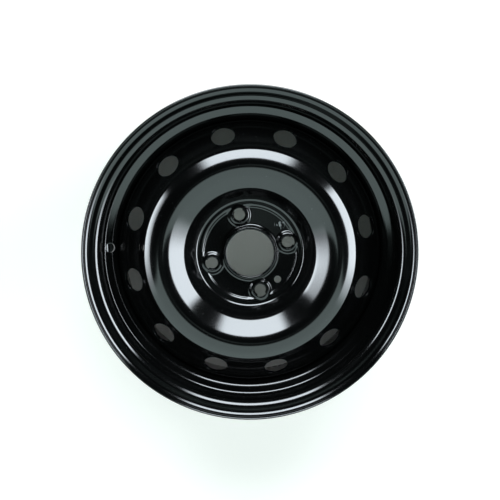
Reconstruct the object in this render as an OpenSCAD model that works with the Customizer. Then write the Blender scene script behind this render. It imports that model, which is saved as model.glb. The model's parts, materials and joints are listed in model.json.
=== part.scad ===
// Pressed steel car wheel: a roll formed rim, a pressed centre disc and the welds that join them.
// The wheel lies flat on its inboard flange, with its axis along +Z and its outboard face up.

/* [Rim] */
// Bead seat diameter, measured at the flange face
bead_seat_d = 380.2; // [355:0.1:406]
// Width between the two flange faces
rim_w = 152.4; // [140:0.1:178]
// Sheet thickness of the rim
rim_t = 2.4; // [2:0.1:3.5]
// Taper of the bead seats, in degrees
seat_taper = 5; // [3:0.5:7]
// Width of a bead seat, from the flange face to the safety hump
seat_w = 19; // [17:0.5:22]
// Rise of the safety hump above the end of the bead seat
hump_h = 1.5; // [0.5:0.1:2.5]
// Run of the seat up to the top of the safety hump
hump_w = 4.5; // [3:0.5:6]
// Bend radius of the safety hump
hump_r = 4; // [3:0.5:6]

/* [Flanges] */
// Height of a flange above the bead seat
flange_h = 17.3; // [15:0.1:20]
// Radius of the flange curl on the tyre side
curl_r = 9.5; // [8:0.1:11]
// Angle that the flange curl turns through, in degrees
curl_turn = 111; // [95:1:120]
// Straight edge past the end of the flange curl
lip_len = 0.6; // [0.3:0.1:3]
// Bend radius between the flange and the bead seat on the tyre side
heel_r = 6.5; // [5:0.1:7]

/* [Drop centre] */
// Depth of the well floor below the bead seat diameter
well_depth = 18.2; // [16:0.1:22]
// Distance from the outboard flange face to the top of the drop wall
drop_in = 29.4; // [27:0.1:36]
// Fall from the bead seat diameter to the top of the drop wall
drop_fall = 3.6; // [2.5:0.1:5]
// Lean of the drop wall away from the wheel plane, in degrees
drop_lean = 18; // [10:1:30]
// Bend radius at the top of the drop wall
drop_r = 8; // [5:0.5:10]
// Width of the well floor between its two corners
well_w = 55; // [48:0.5:64]
// Bend radius on the outboard side of the well floor
well_out_r = 10; // [6:0.5:14]
// Bend radius on the inboard side of the well floor
well_in_r = 14; // [8:0.5:20]

/* [Valve hole] */
// Diameter of the valve hole
valve_d = 11.5; // [9:0.1:13]
// Angle of the valve hole round the wheel, in degrees
valve_angle = 178; // [0:1:359]

/* [Hub] */
// Distance of the mounting face outboard of the middle of the rim
wheel_offset = 43; // [35:0.5:50]
// Sheet thickness of the disc
disc_t = 3.4; // [2.8:0.1:4.5]
// Diameter of the centre bore
bore_d = 60.1; // [54:0.1:66]
// Height of the bore collar above the mounting face
collar_h = 14.5; // [12:0.5:18]
// Bend radius at the foot of the bore collar
collar_r = 4.5; // [3:0.5:5]
// Pitch circle diameter of the bolt holes
pitch_d = 100; // [95:0.1:112]
// Number of bolt holes
bolt_count = 4; // [3:1:5]
// Angle of the first bolt hole, in degrees
bolt_angle = 15.5; // [0:0.5:90]
// Diameter of a bolt hole
bolt_d = 14; // [12:0.1:16]
// Diameter of the conical bolt seat at its wide end
seat_cone_d = 17.4; // [16.5:0.1:18]
// Included angle of the conical bolt seat, in degrees
seat_cone_angle = 60; // [60:1:90]
// Diameter of a bolt boss at its top
boss_d = 23; // [20:0.5:26]
// Diameter of a bolt boss at its foot
boss_foot_d = 29; // [27:0.5:32]
// Height of a bolt boss above the mounting pad
boss_h = 3; // [2:0.1:4]
// Depth of the hollow under a bolt boss
boss_hollow = 2; // [1:0.1:3]
// Diameter of the plain locating hole
locating_d = 9; // [6:0.1:12]
// Angle of the locating hole, in degrees
locating_angle = 315.5; // [0:0.5:359]
// Distance from the pitch circle to the rise at the edge of the mounting pad
pad_margin = 8; // [6:0.5:10]
// Rise of the shoulder round the mounting pad
shoulder_h = 2.6; // [1.5:0.1:4]
// Width of the shoulder's sloping rise
shoulder_rise_w = 2.5; // [1.5:0.1:4]
// Width of the shoulder
shoulder_w = 7.5; // [5:0.5:10]
// Bend radius at the foot of the shoulder's rise
shoulder_foot_r = 3; // [2:0.5:5]
// Bend radius at the top of the shoulder's rise
shoulder_top_r = 5; // [4.5:0.5:8]

/* [Disc] */
// Width of the steep bowl wall round the shoulder
bowl_w = 14; // [10:0.5:18]
// Height of the steep bowl wall
bowl_h = 22.2; // [18:0.1:25]
// Bend radius at the foot of the bowl wall
bowl_foot_r = 5; // [3:0.5:8]
// Bend radius at the top of the bowl wall
bowl_top_r = 12; // [6:0.5:18]
// Height of the sharp corner that the crown rounds off, above the mounting face
crown_h = 50.2; // [47:0.1:53]
// Radius of the crown
crown_r = 24; // [15:0.5:30]
// Width of the crown's outer slope
crown_out_w = 21.1; // [18:0.1:25]
// Fall of the crown's outer slope
crown_out_h = 12.9; // [10:0.1:16]
// Width of the steep step outside the crown
step_w = 7.9; // [6:0.1:10]
// Height of the steep step outside the crown
step_h = 15.4; // [12:0.1:18]
// Bend radius at the top of the step
step_top_r = 6; // [4.5:0.5:9]
// Bend radius at the foot of the step
step_foot_r = 4; // [3:0.5:6]
// Width of the vented slope, from the foot of the step to the skirt
slope_w = 30.3; // [28:0.1:36]
// Angle of the vented slope from the wheel plane, in degrees
slope_angle = 40; // [30:1:48]
// Bend radius between the vented slope and the skirt
knuckle_r = 10; // [7:0.5:14]

/* [Vents] */
// Number of vents
vent_count = 12; // [6:1:14]
// Diameter of a vent
vent_d = 30.5; // [22:0.5:31]
// Angle of the first vent, in degrees
vent_angle = 13; // [0:0.5:60]
// Distance along the slope from the foot of the step to the edge of a vent
vent_margin = 0.7; // [0.3:0.1:3]

/* [Welds] */
// Number of weld beads
weld_count = 8; // [4:1:12]
// Length of one weld bead, in degrees of the wheel
weld_sweep = 24; // [10:1:28]
// Leg of a weld bead along the well floor
weld_leg = 5; // [3:0.1:7]
// Distance from the end of the skirt to the inboard corner of the well floor
weld_space = 12; // [10:0.5:16]

/* [Hidden] */
$fn = 128;
// Degrees of turn for each straight stretch of a bend
bend_step = 9;
// Straight stretches in the half round edge of a sheet
edge_steps = 8;
// Straight stretches in the curved face of a weld bead
weld_steps = 8;
// Extra length of a cutter past the sheet that it pierces
cut_over = 12;
// Share of a straight run that the bends at its two ends may take up
run_share = 0.98;
// Degrees in a half round edge
half_turn = 180;

// Levels along the axis
lip_reach = curl_r - (curl_r - rim_t / 2) * cos(curl_turn) + lip_len * sin(curl_turn) + rim_t / 2;
flange_in_z = lip_reach;
flange_out_z = flange_in_z + rim_w;
face_z = flange_in_z + rim_w / 2 + wheel_offset;

// Radii of the rim on its tyre side
seat_r = bead_seat_d / 2;
flange_r = seat_r + flange_h;
seat_end_r = seat_r - seat_w * tan(seat_taper);
hump_top_r = seat_end_r + hump_h;
drop_top_r = seat_r - drop_fall;
well_r = seat_r - well_depth;
hump_in = seat_w + hump_w;
well_out_z = flange_out_z - drop_in - (drop_top_r - well_r) * tan(drop_lean);
well_in_z = well_out_z - well_w;

// The sharp corner of a flange curl: its height above the curl's foot, and where the lip ends
curl_corner = curl_r * tan(curl_turn / 2);
curl_foot_r = flange_r - curl_r;
lip_run = curl_corner + lip_len;

// Radii and levels of the disc on its outboard side
skirt_r = well_r - rim_t;
skirt_end_z = well_in_z + weld_space;
bore_r = bore_d / 2;
collar_out_r = bore_r + disc_t;
pad_z = face_z + disc_t;
pad_r = pitch_d / 2 + pad_margin;
shoulder_z = pad_z + shoulder_h;
shoulder_in_r = pad_r + shoulder_rise_w;
bowl_foot_x = shoulder_in_r + shoulder_w;
bowl_top_x = bowl_foot_x + bowl_w;
bowl_top_z = shoulder_z + bowl_h;
foot_x = skirt_r - slope_w;
step_x = foot_x - step_w;
crown_x = step_x - crown_out_w;
crown_z = face_z + crown_h;
step_z = crown_z - crown_out_h;
foot_z = step_z - step_h;
knuckle_z = foot_z - slope_w * tan(slope_angle);
vent_run = vent_margin + vent_d / 2;

// A sheet is bent along a path of corners [r, z, bend radius]. Its samples are [point, direction] pairs.
function corner(p) = [p[0], p[1]];
function unit(v) = v / norm(v);
function left_of(v) = [-v[1], v[0]];
function turned(v, a) = [v[0] * cos(a) - v[1] * sin(a), v[0] * sin(a) + v[1] * cos(a)];
function run_dir(path, i) = unit(corner(path[i + 1]) - corner(path[i]));
function run_len(path, i) = norm(corner(path[i + 1]) - corner(path[i]));

// Angle that the path turns through at corner i
function turn_at(path, i) =
    let (u = run_dir(path, i - 1), v = run_dir(path, i))
    atan2(cross(u, v), u * v);

// Length of straight run that the bend at corner i takes up
function bend_need(path, i) =
    i == 0 || i == len(path) - 1 ? 0 : path[i][2] * tan(abs(turn_at(path, i)) / 2);

// Share of those lengths that run i has room for
function run_fit(path, i) =
    min(1, run_share * run_len(path, i) / (bend_need(path, i) + bend_need(path, i + 1)));

// Samples round the bend at corner i, with its radius limited by the two runs that it joins
function bend(path, i) =
    let (
        u = run_dir(path, i - 1),
        turn = turn_at(path, i),
        fit = min(run_fit(path, i - 1), run_fit(path, i)),
        reach = fit * bend_need(path, i),
        radius = fit * path[i][2],
        side = sign(turn),
        centre = corner(path[i]) - reach * u + radius * side * left_of(u),
        steps = max(2, ceil(abs(turn) / bend_step))
    )
    [for (k = [0:steps]) let (d = turned(u, turn * k / steps)) [centre - radius * side * left_of(d), d]];

function samples(path) =
    let (last = len(path) - 1)
    concat(
        [[corner(path[0]), run_dir(path, 0)]],
        [for (i = [1:last - 1]) each bend(path, i)],
        [[corner(path[last]), run_dir(path, last - 1)]]
    );

// Half round edge of a sheet at sample s, from its left face to its right face
function round_edge(s, thick, ahead) =
    let (middle = s[0] - left_of(s[1]) * thick / 2)
    [for (k = [1:edge_steps - 1]) middle + turned(left_of(s[1]), -ahead * half_turn * k / edge_steps) * thick / 2];

function reversed(list) = [for (i = [len(list) - 1:-1:0]) list[i]];

// Section of a sheet that lies to the right of its path, with either edge rounded or square
module sheet(path, thick, round_start, round_stop) {
    run = samples(path);
    first = run[0];
    last = run[len(run) - 1];
    polygon(concat(
        [for (s = run) s[0]],
        round_stop ? round_edge(last, thick, 1) : [],
        [for (s = reversed(run)) s[0] - left_of(s[1]) * thick],
        round_start ? reversed(round_edge(first, thick, -1)) : []
    ));
}

module round_wheel(count, first) {
    for (i = [0:count - 1])
        rotate([0, 0, first + i * 360 / count])
            children();
}

// Tyre side of the rim from the outboard lip to the inboard one
rim_path = let (lip = turned([1, 0], curl_turn) * lip_run) [
    [curl_foot_r + curl_corner + lip[0], flange_out_z + lip[1], 0],
    [curl_foot_r + curl_corner, flange_out_z, curl_r],
    [seat_r, flange_out_z, heel_r],
    [seat_end_r, flange_out_z - seat_w, hump_r],
    [hump_top_r, flange_out_z - hump_in, hump_r],
    [drop_top_r, flange_out_z - drop_in, drop_r],
    [well_r, well_out_z, well_out_r],
    [well_r, well_in_z, well_in_r],
    [hump_top_r, flange_in_z + hump_in, hump_r],
    [seat_end_r, flange_in_z + seat_w, hump_r],
    [seat_r, flange_in_z, heel_r],
    [curl_foot_r + curl_corner, flange_in_z, curl_r],
    [curl_foot_r + curl_corner + lip[0], flange_in_z - lip[1], 0]
];

// Outboard side of the disc from the bore collar to the end of the skirt
disc_path = [
    [collar_out_r, face_z + collar_h - disc_t / 2, 0],
    [collar_out_r, pad_z, collar_r],
    [pad_r, pad_z, shoulder_foot_r],
    [shoulder_in_r, shoulder_z, shoulder_top_r],
    [bowl_foot_x, shoulder_z, bowl_foot_r],
    [bowl_top_x, bowl_top_z, bowl_top_r],
    [crown_x, crown_z, crown_r],
    [step_x, step_z, step_top_r],
    [foot_x, foot_z, step_foot_r],
    [skirt_r, knuckle_z, knuckle_r],
    [skirt_r, skirt_end_z, 0]
];

module valve_cutter() {
    mid_r = (drop_top_r + well_r) / 2;
    mid_z = (flange_out_z - drop_in + well_out_z) / 2;
    rotate([0, 0, valve_angle])
        translate([mid_r, 0, mid_z])
            rotate([0, -drop_lean, 0])
                cylinder(d = valve_d, h = 2 * cut_over, center = true);
}

module rim() {
    color("#15171a")
        difference() {
            rotate_extrude()
                sheet(rim_path, rim_t, true, true);
            valve_cutter();
        }
}

// Raised cone of a bolt boss, or the narrower hollow under it
module boss_cone(z, high, shrink) {
    translate([pitch_d / 2, 0, z])
        cylinder(d1 = boss_foot_d - shrink, d2 = boss_d - shrink, h = high);
}

// Bolt hole with its conical seat on the outboard side
module bolt_cutter() {
    seat_spread = 2 * tan(seat_cone_angle / 2);
    seat_depth = (seat_cone_d - bolt_d) / seat_spread;
    top_z = pad_z + boss_h;
    translate([pitch_d / 2, 0, face_z - cut_over])
        cylinder(d = bolt_d, h = top_z - face_z + cut_over);
    translate([pitch_d / 2, 0, top_z - seat_depth])
        cylinder(d1 = bolt_d, d2 = seat_cone_d + cut_over * seat_spread, h = seat_depth + cut_over);
}

module vent_cutter() {
    translate([foot_x, 0, foot_z])
        rotate([0, slope_angle, 0])
            translate([vent_run, 0, 0])
                cylinder(d = vent_d, h = 2 * cut_over, center = true);
}

module disc() {
    color("#17191c")
        difference() {
            union() {
                rotate_extrude()
                    sheet(disc_path, disc_t, true, false);
                round_wheel(bolt_count, bolt_angle)
                    boss_cone(pad_z, boss_h, 0);
            }
            round_wheel(bolt_count, bolt_angle) {
                boss_cone(face_z, boss_hollow, disc_t);
                bolt_cutter();
            }
            rotate([0, 0, locating_angle])
                translate([pitch_d / 2, 0, face_z - cut_over])
                    cylinder(d = locating_d, h = disc_t + 2 * cut_over);
            round_wheel(vent_count, vent_angle)
                vent_cutter();
        }
}

// Fillet of weld metal in the corner between the end of the skirt and the well floor
module weld_beads() {
    color("#1d1e20")
        round_wheel(weld_count, 0)
            rotate_extrude(angle = weld_sweep)
                translate([skirt_r, skirt_end_z])
                    polygon(concat(
                        [[0, 0]],
                        [for (a = [0:90 / weld_steps:90]) [-disc_t * cos(a), -weld_leg * sin(a)]]
                    ));
}

rim();
disc();
weld_beads();
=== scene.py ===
import json
import math
from bisect import bisect_right

import bmesh
import bpy
from mathutils import Matrix, Vector


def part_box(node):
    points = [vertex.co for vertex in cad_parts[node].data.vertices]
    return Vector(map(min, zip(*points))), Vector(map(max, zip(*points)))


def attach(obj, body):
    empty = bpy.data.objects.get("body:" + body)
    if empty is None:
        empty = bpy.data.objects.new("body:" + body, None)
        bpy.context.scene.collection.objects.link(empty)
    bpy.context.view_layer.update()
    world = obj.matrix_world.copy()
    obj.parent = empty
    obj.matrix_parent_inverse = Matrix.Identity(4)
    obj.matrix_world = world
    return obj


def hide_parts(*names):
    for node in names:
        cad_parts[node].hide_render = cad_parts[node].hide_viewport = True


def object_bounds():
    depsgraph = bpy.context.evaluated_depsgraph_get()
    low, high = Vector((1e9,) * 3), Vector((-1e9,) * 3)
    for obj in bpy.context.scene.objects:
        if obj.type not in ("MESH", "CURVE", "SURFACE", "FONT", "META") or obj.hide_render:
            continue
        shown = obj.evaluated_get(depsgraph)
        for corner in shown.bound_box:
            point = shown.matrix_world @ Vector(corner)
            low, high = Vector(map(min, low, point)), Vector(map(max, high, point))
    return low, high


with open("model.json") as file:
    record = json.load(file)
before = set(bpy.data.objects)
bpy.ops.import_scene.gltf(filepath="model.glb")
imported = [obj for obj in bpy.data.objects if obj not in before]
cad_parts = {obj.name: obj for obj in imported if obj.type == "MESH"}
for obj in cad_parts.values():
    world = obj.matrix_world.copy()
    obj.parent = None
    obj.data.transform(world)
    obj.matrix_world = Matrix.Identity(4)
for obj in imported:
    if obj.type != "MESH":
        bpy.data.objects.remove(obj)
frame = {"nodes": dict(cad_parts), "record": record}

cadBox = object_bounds()
mm = 0.001
mounts = {m["name"]: m for m in frame["record"]["mounts"]}
faceZ = mounts["hub_face"]["pos_m"][2]  # mounting face of the disc
boreR = mounts["centre_bore"]["dims"]["r_mm"] * mm
pitchR = mounts["wheel_bolts"]["dims"]["pcd_mm"] * mm / 2
boltR = mounts["wheel_bolts"]["dims"]["hole_r_mm"] * mm
frontZ = cadBox[1].z
print("frame loaded, wheel is", round(frontZ / mm, 1), "mm wide")


# Sheet forming: a flat blank of angle and length is punched, made thick, then bent round the wheel

blankRules = {
    "columns": 288,
    "seam": math.radians(58),  # between two vents and two bolt bosses
    "seamGap": 1e-5,
    "bendStep": math.radians(7),
    "bendParts": 3,  # fewest parts of a bend
    "stretch": 1.5,  # longest face, in widths of a column
    "runShare": 0.98,  # part of a straight run that the bends at its ends may take up
    "tiny": 0.001 * mm,
    "merge": 0.01 * mm,  # points nearer than this become one
    "sharp": math.radians(45),  # edges bent more than this are rounded
}


def rightOf(v):
    return Vector((v.y, -v.x))


def bentLine(corners):
    # corners are (radius, height, bend radius), stations are (point, direction, length up to it)
    points = [Vector(c[:2]) for c in corners]
    runs = [b - a for a, b in zip(points, points[1:])]
    turns = [0] + [-a.angle_signed(b) for a, b in zip(runs, runs[1:])] + [0]
    needs = [c[2] * math.tan(abs(t) / 2) for c, t in zip(corners, turns)]
    fits = [min(1, blankRules["runShare"] * run.length / max(a + b, blankRules["tiny"]))
            for run, a, b in zip(runs, needs, needs[1:])]
    bends = [(points[0], runs[0].normalized())]
    for i in range(1, len(points) - 1):
        into = runs[i - 1].normalized()
        fit = min(fits[i - 1], fits[i])
        spoke = rightOf(into) * corners[i][2] * fit * math.copysign(1, turns[i])
        centre = points[i] - into * needs[i] * fit - spoke
        steps = max(blankRules["bendParts"], math.ceil(abs(turns[i]) / blankRules["bendStep"]))
        for k in range(steps + 1):
            turn = Matrix.Rotation(turns[i] * k / steps, 2)
            bends.append((centre + turn @ spoke, turn @ into))
    bends.append((points[-1], runs[-1].normalized()))
    line = [(*bends[0], 0.0)]
    for a, b in zip(bends, bends[1:]):
        gap = (b[0] - a[0]).length
        widest = blankRules["stretch"] * a[0].x * math.tau / blankRules["columns"]
        parts = math.ceil(gap / widest)
        start = line[-1][2]
        for k in range(1, parts + 1):
            line.append((a[0].lerp(b[0], k / parts), a[1].lerp(b[1], k / parts), start + gap * k / parts))
    return line


def stationAt(line, s):
    i = min(max(bisect_right(line, s, key=lambda station: station[2]) - 1, 0), len(line) - 2)
    a, b = line[i], line[i + 1]
    share = (s - a[2]) / (b[2] - a[2])
    return a[0].lerp(b[0], share), a[1].lerp(b[1], share).normalized()


def lengthNear(line, point):
    near = min(line, key=lambda station: (station[0] - point).length)
    return near[2] + (point - near[0]).dot(near[1])


def pastSeam(angle):
    return blankRules["seam"] + (angle - blankRules["seam"]) % math.tau


def flatBlank(line):
    columns, rows = blankRules["columns"], len(line) - 1
    bm = bmesh.new()
    bmesh.ops.create_grid(bm, x_segments=columns, y_segments=rows, size=0.5)
    for v in bm.verts:
        angle = blankRules["seam"] + (v.co.x + 0.5) * math.tau
        v.co = (angle, line[round((v.co.y + 0.5) * rows)][2], 0)
    return bm


def punchHole(bm, line, angle, s, reach, rings):
    # the patch within reach is cut out and filled by loops that shrink to each (radius, steps) ring in turn
    point, direction = stationAt(line, s)
    lean = direction.x
    apex = point.x / lean

    def unrolled(co):
        away, turn = apex + co.y - s, (co.x - angle) * lean
        return Vector((away * math.sin(turn), away * math.cos(turn) - apex))

    def rolled(flat):
        away = math.copysign(math.hypot(flat.x, flat.y + apex), apex)
        turn = math.atan2(flat.x / away, (flat.y + apex) / away)
        return Vector((angle + turn / lean, s + away - apex, 0))

    patch = set()
    for f in bm.faces:
        middle = f.calc_center_median()
        if abs(middle.x - angle) * point.x < reach and abs(middle.y - s) < reach:
            patch.add(f)
    loop = [e for e in {e for f in patch for e in f.edges} if sum(f in patch for f in e.link_faces) == 1]
    bmesh.ops.delete(bm, geom=list(patch), context="FACES_KEEP_BOUNDARY")
    for radius, steps in rings:
        for k in range(steps):
            grown = bmesh.ops.extrude_edge_only(bm, edges=loop)["geom"]
            verts = {g for g in grown if isinstance(g, bmesh.types.BMVert)}
            for v in verts:
                flat = unrolled(v.co)
                v.co = rolled(flat.lerp(flat.normalized() * radius, 1 / (steps - k)))
            loop = [g for g in grown if isinstance(g, bmesh.types.BMEdge) and set(g.verts) <= verts]


def thicken(bm, thickness):
    bmesh.ops.reverse_faces(bm, faces=[f for f in bm.faces if f.normal.z < 0])
    bmesh.ops.solidify(bm, geom=bm.faces[:], thickness=thickness)
    ends = (blankRules["seam"], blankRules["seam"] + math.tau)
    walls = [f for f in bm.faces
             if any(all(abs(v.co.x - end) < blankRules["seamGap"] for v in f.verts) for end in ends)]
    bmesh.ops.delete(bm, geom=walls, context="FACES")


def bendBlank(bm, line, rise=None):
    for v in bm.verts:
        angle, s, depth = v.co.x, v.co.y, abs(v.co.z)
        point, direction = stationAt(line, s)
        lift = rise(point, angle, depth) if rise else 0
        point = point + rightOf(direction) * depth
        v.co = (point.x * math.cos(angle), point.x * math.sin(angle), point.y + lift)
    bmesh.ops.remove_doubles(bm, verts=bm.verts[:], dist=blankRules["merge"])
    bmesh.ops.recalc_face_normals(bm, faces=bm.faces[:])


def roundEdges(bm, width, segments, test):
    sharp = [e for e in bm.edges
             if e.is_manifold and e.calc_face_angle() > blankRules["sharp"] and test(e)]
    bmesh.ops.bevel(bm, geom=sharp, offset=width, offset_type="OFFSET", segments=segments, profile=0.5,
                    affect="EDGES", material=-1, clamp_overlap=True)
    print("rounded", len(sharp), "edges")


def finishPiece(name, bm, node, material):
    for f in bm.faces:
        f.smooth = True
    mesh = bpy.data.meshes.new(name)
    bm.to_mesh(mesh)
    bm.free()
    mesh.materials.append(material)
    piece = bpy.data.objects.new(name, mesh)
    bpy.context.scene.collection.objects.link(piece)
    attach(piece, "root")
    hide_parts(node)
    print(name, "has", sum(len(p.vertices) - 2 for p in mesh.polygons), "triangles")


# Paint

paintLook = {
    "colour": (0.0016, 0.0018, 0.0018, 1),
    "dust": (0.22, 0.23, 0.23, 1),
    "specks": {"Scale": 900, "Detail": 1, "Roughness": 0.4},
    "speckEdges": (0.8, 0.85),
    "haze": {"Scale": 14, "Detail": 4, "Roughness": 0.6},
    "roughness": {"From Min": 0.3, "From Max": 0.75, "To Min": 0.112, "To Max": 0.21},
    "specular": 0.7,
    "coatRoughness": 0.045,
    "coatIor": 1.66,
    "peel": {"Scale": 420, "Detail": 1.5, "Roughness": 0.45},
    "peelDepth": {"Strength": 0.012, "Distance": mm},
    "scuff": (0.4, 0.42, 0.42, 1),
    "scuffAt": (38 * mm, 36 * mm, 137 * mm),  # on the bolt pad, between two bosses
    "scuffReach": {"From Min": 7.5 * mm, "From Max": 3.75 * mm},
    "scuffLean": {"Rotation": (0, 0, math.radians(25)), "Scale": (1, 0.3, 1)},
    "strokes": {"Scale": 520, "Detail": 1, "Roughness": 0.5},
    "strokeEdges": {"From Min": 0.55, "From Max": 0.61},
}


def addNode(tree, kind, links=None, **values):
    node = tree.nodes.new(kind)
    for key, value in values.items():
        setattr(node, key, value)
    for key, value in (links or {}).items():
        if isinstance(value, bpy.types.NodeSocket):
            tree.links.new(value, node.inputs[key])
        else:
            node.inputs[key].default_value = value
    return node


def glossPaint(name, look):
    material = bpy.data.materials.new(name)
    material.use_nodes = True
    tree = material.node_tree
    shader = tree.nodes["Principled BSDF"]
    place = addNode(tree, "ShaderNodeTexCoord").outputs["Object"]
    specks = addNode(tree, "ShaderNodeTexNoise", {"Vector": place, **look["specks"]})
    speckRamp = addNode(tree, "ShaderNodeValToRGB", {"Fac": specks.outputs["Fac"]})
    for stop, position, key in zip(speckRamp.color_ramp.elements, look["speckEdges"], ("colour", "dust")):
        stop.position = position
        stop.color = look[key]
    lean = addNode(tree, "ShaderNodeMapping", {"Vector": place, **look["scuffLean"]})
    strokes = addNode(tree, "ShaderNodeTexNoise", {"Vector": lean.outputs["Vector"], **look["strokes"]})
    away = addNode(tree, "ShaderNodeVectorMath", {0: place, 1: look["scuffAt"]}, operation="DISTANCE")
    within = addNode(tree, "ShaderNodeMapRange", {"Value": away.outputs["Value"], **look["scuffReach"]})
    deep = addNode(tree, "ShaderNodeMapRange", {"Value": strokes.outputs["Fac"], **look["strokeEdges"]})
    scuffed = addNode(tree, "ShaderNodeMath", {0: within.outputs["Result"], 1: deep.outputs["Result"]},
                      operation="MULTIPLY")
    colour = addNode(tree, "ShaderNodeMix", data_type="RGBA")
    tree.links.new(scuffed.outputs["Value"], colour.inputs[0])
    tree.links.new(speckRamp.outputs["Color"], colour.inputs[6])
    colour.inputs[7].default_value = look["scuff"]
    haze = addNode(tree, "ShaderNodeTexNoise", {"Vector": place, **look["haze"]})
    hazeRange = addNode(tree, "ShaderNodeMapRange", {"Value": haze.outputs["Fac"], **look["roughness"]})
    peel = addNode(tree, "ShaderNodeTexNoise", {"Vector": place, **look["peel"]})
    bump = addNode(tree, "ShaderNodeBump", {"Height": peel.outputs["Fac"], **look["peelDepth"]})
    tree.links.new(colour.outputs[2], shader.inputs["Base Color"])
    tree.links.new(hazeRange.outputs["Result"], shader.inputs["Roughness"])
    tree.links.new(bump.outputs["Normal"], shader.inputs["Normal"])
    tree.links.new(bump.outputs["Normal"], shader.inputs["Coat Normal"])
    shader.inputs["Specular IOR Level"].default_value = look["specular"]
    shader.inputs["Coat Weight"].default_value = 1
    shader.inputs["Coat Roughness"].default_value = look["coatRoughness"]
    shader.inputs["Coat IOR"].default_value = look["coatIor"]
    return material


# Rim, rolled from one sheet

rimSize = {
    "thickness": 2.4 * mm,
    "seatR": 190.1 * mm, "seatW": 19 * mm, "seatTaper": math.radians(5),
    "humpH": 1.5 * mm, "humpW": 4.5 * mm, "humpR": 4 * mm,
    "flangeH": 17.2 * mm, "curlR": 9.5 * mm, "curlTurn": math.radians(111), "lip": 0.5 * mm,
    "heelR": 6.5 * mm,
    "width": 152.4 * mm,
    "wellDepth": 18.2 * mm, "dropIn": 29.4 * mm, "dropFall": 3.6 * mm, "dropLean": math.radians(18),
    "dropR": 8 * mm, "wellW": 55 * mm, "wellOutR": 10 * mm, "wellInR": 14 * mm,
    "lipRounding": 1.15 * mm, "holeRounding": 0.25 * mm,
    "punchReach": 1.45, "punchRing": 1.2,  # in radii of the valve hole
}


def rimCorners(size):
    inZ = (frontZ - size["width"]) / 2
    outZ = (frontZ + size["width"]) / 2
    seatEndR = size["seatR"] - size["seatW"] * math.tan(size["seatTaper"])
    humpTopR = seatEndR + size["humpH"]
    humpIn = size["seatW"] + size["humpW"]
    dropTopR = size["seatR"] - size["dropFall"]
    wellR = size["seatR"] - size["wellDepth"]
    wellOutZ = outZ - size["dropIn"] - (dropTopR - wellR) * math.tan(size["dropLean"])
    cornerRun = size["curlR"] * math.tan(size["curlTurn"] / 2)
    cornerR = size["seatR"] + size["flangeH"] - size["curlR"] + cornerRun
    lipRun = cornerRun + size["lip"] + size["thickness"] / 2
    lipR = cornerR + lipRun * math.cos(size["curlTurn"])
    lipReach = lipRun * math.sin(size["curlTurn"])
    return [
        (lipR, outZ + lipReach, 0),
        (cornerR, outZ, size["curlR"]),
        (size["seatR"], outZ, size["heelR"]),
        (seatEndR, outZ - size["seatW"], size["humpR"]),
        (humpTopR, outZ - humpIn, size["humpR"]),
        (dropTopR, outZ - size["dropIn"], size["dropR"]),
        (wellR, wellOutZ, size["wellOutR"]),
        (wellR, wellOutZ - size["wellW"], size["wellInR"]),
        (humpTopR, inZ + humpIn, size["humpR"]),
        (seatEndR, inZ + size["seatW"], size["humpR"]),
        (size["seatR"], inZ, size["heelR"]),
        (cornerR, inZ, size["curlR"]),
        (lipR, inZ - lipReach, 0),
    ]


def makeRim(size, material):
    corners = rimCorners(size)
    line = bentLine(corners)
    bm = flatBlank(line)
    valve = mounts["valve_hole"]
    valveR = valve["dims"]["r_mm"] * mm
    valveAt = Vector(valve["pos_m"])
    dropMiddle = (Vector(corners[5][:2]) + Vector(corners[6][:2])) / 2
    valveAngle = pastSeam(math.atan2(valveAt.y, valveAt.x))
    punchHole(bm, line, valveAngle, lengthNear(line, dropMiddle), valveR * size["punchReach"],
              [(valveR * size["punchRing"], 2), (valveR, 1)])
    thicken(bm, size["thickness"])
    bendBlank(bm, line)
    flangeR = size["seatR"] + size["flangeH"] / 2
    roundEdges(bm, size["lipRounding"], 4, lambda e: e.verts[0].co.xy.length > flangeR)
    roundEdges(bm, size["holeRounding"], 3, lambda e: (e.verts[0].co - valveAt).length < 2 * valveR)
    finishPiece("painted_rim", bm, "rim", material)


# Disc, pressed from one sheet

discSize = {
    "thickness": 3.4 * mm,
    "collarH": 14.5 * mm, "collarR": 4.5 * mm, "padMargin": 8 * mm,
    "shoulderH": 2.6 * mm, "shoulderRise": 2.5 * mm, "shoulderW": 7.5 * mm, "shoulderFootR": 3 * mm,
    "shoulderTopR": 5 * mm,
    "bowlW": 14 * mm, "bowlH": 22.2 * mm, "bowlFootR": 5 * mm, "bowlTopR": 12 * mm,
    "crownH": 50.2 * mm, "crownR": 24 * mm, "crownOutW": 21.1 * mm, "crownOutH": 12.9 * mm,
    "stepW": 7.9 * mm, "stepH": 15.4 * mm, "stepTopR": 6 * mm, "stepFootR": 4 * mm,
    "slopeW": 30.3 * mm, "slopeAngle": math.radians(40), "knuckleR": 10 * mm,
    "bossH": 3 * mm, "bossHollow": 2 * mm, "bossR": 11.5 * mm, "bossFootR": 14.5 * mm,
    "bossBlend": 1.6 * mm,
    "boltFirst": math.radians(15.5), "seatConeR": 8.7 * mm, "seatConeDepth": 2.94 * mm,
    "ventR": 15.25 * mm, "ventMargin": 0.7 * mm, "ventCount": 12, "ventFirst": math.radians(13),
    "collarRounding": 1.6 * mm, "holeRounding": 0.55 * mm,
    "bossReach": 16 * mm, "bossMargin": 0.7 * mm, "ventReach": 18 * mm, "ventRing": 0.8 * mm,
    "punchReach": 1.4, "punchRing": 1.2,  # in radii of the locating hole
    "seatLevel": 0.1 * mm, "collarSpan": 5.1 * mm, "collarFrom": 5 * mm, "skirtClear": mm,
}


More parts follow.
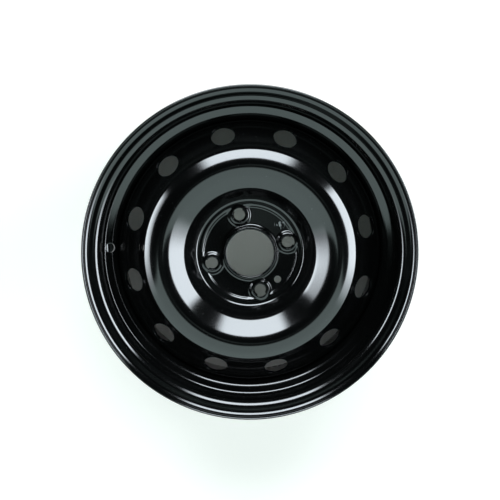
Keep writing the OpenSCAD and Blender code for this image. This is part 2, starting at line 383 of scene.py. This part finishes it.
def discCorners(size):
    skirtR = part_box("disc")[1].x
    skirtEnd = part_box("disc")[0].z
    padZ = faceZ + size["thickness"]
    padR = pitchR + size["padMargin"]
    shoulderZ = padZ + size["shoulderH"]
    shoulderIn = padR + size["shoulderRise"]
    bowlFoot = shoulderIn + size["shoulderW"]
    footX = skirtR - size["slopeW"]
    stepX = footX - size["stepW"]
    crownX = stepX - size["crownOutW"]
    crownZ = faceZ + size["crownH"]
    stepZ = crownZ - size["crownOutH"]
    footZ = stepZ - size["stepH"]
    knuckleZ = footZ - size["slopeW"] * math.tan(size["slopeAngle"])
    collarOut = boreR + size["thickness"]
    return [
        (collarOut, faceZ + size["collarH"], 0),
        (collarOut, padZ, size["collarR"]),
        (padR, padZ, size["shoulderFootR"]),
        (shoulderIn, shoulderZ, size["shoulderTopR"]),
        (bowlFoot, shoulderZ, size["bowlFootR"]),
        (bowlFoot + size["bowlW"], shoulderZ + size["bowlH"], size["bowlTopR"]),
        (crownX, crownZ, size["crownR"]),
        (stepX, stepZ, size["stepTopR"]),
        (footX, footZ, size["stepFootR"]),
        (skirtR, knuckleZ, size["knuckleR"]),
        (skirtR, skirtEnd, 0),
    ]


def softMax(a, b, blend):
    near = max(blend - abs(a - b), 0) / blend
    return max(a, b) + near * near * blend / 4


def makeDisc(size, material):
    corners = discCorners(size)
    line = bentLine(corners)
    bm = flatBlank(line)
    padZ = faceZ + size["thickness"]
    boltCount = mounts["wheel_bolts"]["dims"]["count"]
    boltAngles = [pastSeam(size["boltFirst"] + k * math.tau / boltCount) for k in range(boltCount)]
    bolts = [Vector((pitchR * math.cos(a), pitchR * math.sin(a))) for a in boltAngles]
    padS = lengthNear(line, Vector((pitchR, padZ)))
    for angle in boltAngles:
        punchHole(bm, line, angle, padS, size["bossReach"],
                  [(size["bossFootR"] + size["bossMargin"], 4), (size["seatConeR"], 9)])
    locating = mounts["locating_hole"]
    locatingR = locating["dims"]["r_mm"] * mm
    locatingAt = Vector(locating["pos_m"])
    punchHole(bm, line, pastSeam(math.atan2(locatingAt.y, locatingAt.x)), padS,
              locatingR * size["punchReach"], [(locatingR * size["punchRing"], 2), (locatingR, 1)])
    foot = Vector(corners[-3][:2])
    slope = Vector((math.cos(size["slopeAngle"]), -math.sin(size["slopeAngle"])))
    ventS = lengthNear(line, foot + slope * (size["ventMargin"] + size["ventR"]))
    for k in range(size["ventCount"]):
        angle = pastSeam(size["ventFirst"] + k * math.tau / size["ventCount"])
        punchHole(bm, line, angle, ventS, size["ventReach"],
                  [(size["ventR"] + size["ventRing"], 2), (size["ventR"], 1)])
    print("disc punched")
    thicken(bm, size["thickness"])

    def bossRise(point, angle, depth):
        # the sheet is drawn up into a low cone round each bolt hole
        spot = Vector((point.x * math.cos(angle), point.x * math.sin(angle)))
        away = min((spot - bolt).length for bolt in bolts)
        if away > 2 * size["bossFootR"] or point.x > pitchR + 2 * size["bossR"]:
            return 0
        flank = size["bossH"] * (size["bossFootR"] - away) / (size["bossFootR"] - size["bossR"])
        boss = padZ - softMax(-flank, -size["bossH"], size["bossBlend"])
        rise = softMax(point.y, boss, size["bossBlend"]) - point.y
        return rise * size["bossHollow"] / size["bossH"] if depth else rise

    bendBlank(bm, line, bossRise)

    # the wall of each bolt hole is cut again into a cone on a straight bore
    seatR = size["seatConeR"] + blankRules["merge"]
    for bolt in bolts:
        wall = [e for e in bm.edges if all((v.co.xy - bolt).length < seatR for v in e.verts)
                and abs(e.verts[0].co.z - e.verts[1].co.z) > size["thickness"] / 2]
        bmesh.ops.subdivide_edges(bm, edges=wall, cuts=1)
        ring = [v for v in bm.verts if (v.co.xy - bolt).length < seatR]
        low, top = min(v.co.z for v in ring), max(v.co.z for v in ring)
        for v in ring:
            if v.co.z < top - size["seatLevel"]:
                v.co.xy = bolt + (v.co.xy - bolt).normalized() * boltR
                if v.co.z > low + size["seatLevel"]:
                    v.co.z = top - size["seatConeDepth"]

    skirtEnd = corners[-1][1]
    collarFar = boreR + size["collarSpan"]
    roundEdges(bm, size["collarRounding"], 4,
               lambda e: e.verts[0].co.xy.length < collarFar and e.verts[0].co.z > padZ + size["collarFrom"])
    roundEdges(bm, size["holeRounding"], 3,
               lambda e: e.verts[0].co.xy.length > collarFar
               and e.verts[0].co.z > skirtEnd + size["skirtClear"])
    finishPiece("painted_disc", bm, "disc", material)


# Stage, camera and light

floorLook = {
    "reach": 4,
    "roughness": 0.9,
    "specular": 0.1,
    "colour": (0.95, 0.88, 0.83, 1),
    "lift": (0.085, 0.1, 0.092, 1),  # painted light: grey glow seen by the camera alone, over the floor's shade
    # painted light under the wheel, seen through the bore and vents: strongest by the axis, a fifth as strong
    # from 0.15 m out
    "under": {"From Min": 0.03, "From Max": 0.15, "To Min": 1, "To Max": 0.2},
    # painted light on the floor round the wheel, which lightens the wheel's shadow there
    "round": {"From Min": 0.19, "From Max": 0.21, "To Min": 0, "To Max": 2.6},
}


def makeFloor(look):
    bm = bmesh.new()
    bmesh.ops.create_grid(bm, x_segments=1, y_segments=1, size=look["reach"])
    mesh = bpy.data.meshes.new("floor")
    bm.to_mesh(mesh)
    bm.free()
    material = bpy.data.materials.new("pale_floor")
    material.use_nodes = True
    tree = material.node_tree
    shader = tree.nodes["Principled BSDF"]
    shader.inputs["Base Color"].default_value = look["colour"]
    shader.inputs["Roughness"].default_value = look["roughness"]
    shader.inputs["Specular IOR Level"].default_value = look["specular"]
    shader.inputs["Emission Color"].default_value = look["lift"]
    # Only the camera sees an emission in the lift colour: painted light under the wheel, fading from the
    # axis, and painted light round it, which lightens the wheel's shadow.
    place = addNode(tree, "ShaderNodeTexCoord").outputs["Object"]
    away = addNode(tree, "ShaderNodeVectorMath", {0: place}, operation="LENGTH").outputs["Value"]
    under, beyond = [addNode(tree, "ShaderNodeMapRange", {"Value": away, **look[key]}).outputs["Result"]
                     for key in ("under", "round")]
    painted_light_strength = addNode(tree, "ShaderNodeMath", {0: under, 1: beyond}, operation="ADD").outputs["Value"]
    seen = addNode(tree, "ShaderNodeLightPath").outputs["Is Camera Ray"]
    lift = addNode(tree, "ShaderNodeMath", {0: seen, 1: painted_light_strength}, operation="MULTIPLY").outputs["Value"]
    tree.links.new(lift, shader.inputs["Emission Strength"])
    mesh.materials.append(material)
    floor = bpy.data.objects.new("floor", mesh)
    bpy.context.scene.collection.objects.link(floor)


cameraPlace = {
    "location": Vector((-21.0, 109.3, 1079.5)) * mm,
    "aim": Vector((-0.87, 7.98, 180.87)) * mm,
    "focalPixels": 741,
    "framePixels": 500,
    "sensor": 36,
}


def makeCamera(place):
    data = bpy.data.cameras.new("camera")
    data.sensor_width = place["sensor"]
    data.lens = place["focalPixels"] / place["framePixels"] * place["sensor"]
    back = (place["location"] - place["aim"]).normalized()
    right = Vector((0, 1, 0)).cross(back).normalized()
    camera = bpy.data.objects.new("camera", data)
    axes = Matrix((right, back.cross(right), back)).transposed()
    camera.matrix_world = Matrix.Translation(place["location"]) @ axes.to_4x4()
    bpy.context.scene.collection.objects.link(camera)
    bpy.context.scene.camera = camera


studioLight = {
    "background": (0.96, 0.965, 0.96, 1),
    "again": {"From Min": 2, "From Max": 3, "To Min": 1, "To Max": 0.2},  # dims a second reflection
    "boxColour": (0.88, 0.965, 1.03),
    "fillColour": (0.8, 1.01, 1),
    "boxes": [  # ends round the wheel, nearest and farthest angle from overhead, all with their softness
        {"round": ((62, 5), (119, 5)), "polar": ((40, 4), (73, 4)), "tint": "boxColour", "strength": 6.6},
        {"round": ((150, 4), (194, 18)), "polar": ((66, 5), (85, 4)), "tint": "boxColour", "strength": 6.7},
        {"round": ((-23, 14), (33, 4)), "polar": ((53, 4), (84, 4)), "tint": "boxColour", "strength": 6.6},
        {"round": ((204, 4), (334, 4)), "polar": ((17, 4), (92, 4)), "tint": "fillColour", "strength": 0.76},
        {"round": ((275, 10), (20, 10)), "polar": ((-20, 4), (6, 2)), "tint": "fillColour", "strength": 0.14},
    ],
}


def sine(degrees):
    return math.sin(math.radians(degrees))


def cosine(degrees):
    return math.cos(math.radians(degrees))


def makeWorld(light):
    world = bpy.data.worlds.new("studio")
    bpy.context.scene.world = world
    world.use_nodes = True
    tree = world.node_tree
    path = addNode(tree, "ShaderNodeLightPath").outputs
    towards = addNode(tree, "ShaderNodeTexCoord").outputs["Generated"]
    height = addNode(tree, "ShaderNodeSeparateXYZ", {"Vector": towards}).outputs["Z"]
    level = addNode(tree, "ShaderNodeVectorMath", {0: towards, 1: (1, 1, 0)}, operation="MULTIPLY")
    level = addNode(tree, "ShaderNodeVectorMath", {0: level.outputs["Vector"]}, operation="NORMALIZE")

    def fade(value, dark, bright):
        return addNode(tree, "ShaderNodeMapRange", {"Value": value, "From Min": dark, "From Max": bright},
                       interpolation_type="SMOOTHSTEP").outputs["Result"]

    def past(azimuth, soft, side):
        # one end of a box: bright on the given side of an upright plane through the axis
        across = (-side * sine(azimuth), side * cosine(azimuth), 0)
        beyond = addNode(tree, "ShaderNodeVectorMath", {0: level.outputs["Vector"], 1: across},
                         operation="DOT_PRODUCT")
        return fade(beyond.outputs["Value"], -sine(soft), sine(soft))

    def times(a, b):
        return addNode(tree, "ShaderNodeMath", {0: a, 1: b}, operation="MULTIPLY").outputs["Value"]

    dim = addNode(tree, "ShaderNodeMapRange", {"Value": path["Ray Depth"], **light["again"]})
    total = None
    for box in light["boxes"]:
        (first, firstSoft), (last, lastSoft) = box["round"]
        (near, nearSoft), (far, farSoft) = box["polar"]
        glow = times(past(first, firstSoft, 1), past(last, lastSoft, -1))
        glow = times(glow, fade(height, cosine(near - nearSoft), cosine(near + nearSoft)))
        glow = times(glow, fade(height, cosine(far + farSoft), cosine(far - farSoft)))
        glow = times(glow, box["strength"])
        tint = addNode(tree, "ShaderNodeVectorMath", {0: light[box["tint"]], "Scale": glow},
                       operation="SCALE")
        if total:
            tint = addNode(tree, "ShaderNodeVectorMath", {0: total, 1: tint.outputs["Vector"]},
                           operation="ADD")
        total = tint.outputs["Vector"]
    total = addNode(tree, "ShaderNodeVectorMath", {0: total, "Scale": dim.outputs["Result"]},
                    operation="SCALE")
    colour = addNode(tree, "ShaderNodeMix", data_type="RGBA")
    tree.links.new(path["Is Camera Ray"], colour.inputs[0])
    tree.links.new(total.outputs["Vector"], colour.inputs[6])
    colour.inputs[7].default_value = light["background"]
    tree.links.new(colour.outputs[2], tree.nodes["Background"].inputs["Color"])


makeFloor(floorLook)
makeCamera(cameraPlace)
makeWorld(studioLight)
bpy.context.scene.view_settings.view_transform = "Standard"
print("stage ready")
paint = glossPaint("gloss_black_paint", paintLook)
makeRim(rimSize, paint)
makeDisc(discSize, paint)
for node in frame["nodes"].values():
    node.data.materials.clear()
    node.data.materials.append(paint)
